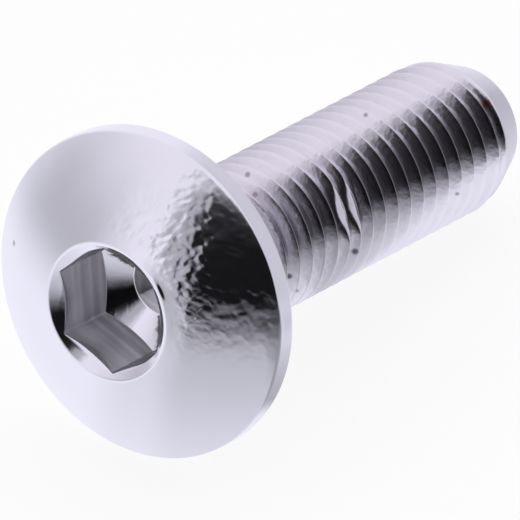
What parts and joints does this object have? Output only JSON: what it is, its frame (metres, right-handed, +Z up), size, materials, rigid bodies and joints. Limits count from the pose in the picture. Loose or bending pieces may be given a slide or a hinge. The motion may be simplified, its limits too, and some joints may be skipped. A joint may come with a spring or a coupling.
{
  "type": "button head screw",
  "caption": "Socket button head screw with a wide low-domed head, a hexagon socket and a fine right-hand thread over its whole shank.",
  "frame": {"origin": "on the surface that the screw lies on, under the middle of its bounding box", "axes": "+Z up; +X along the lying screw from its head to its point, which is lower than the head by the screw's own lean; +Y to the left of that"},
  "size_m": [0.0234, 0.0126, 0.0125],
  "materials": {
    "plating": "bright plated steel, slightly rippled, with a few pits"
  },
  "bodies": {
    "root": {"button_head_screw": "plating"}
  },
  "joints": []
}
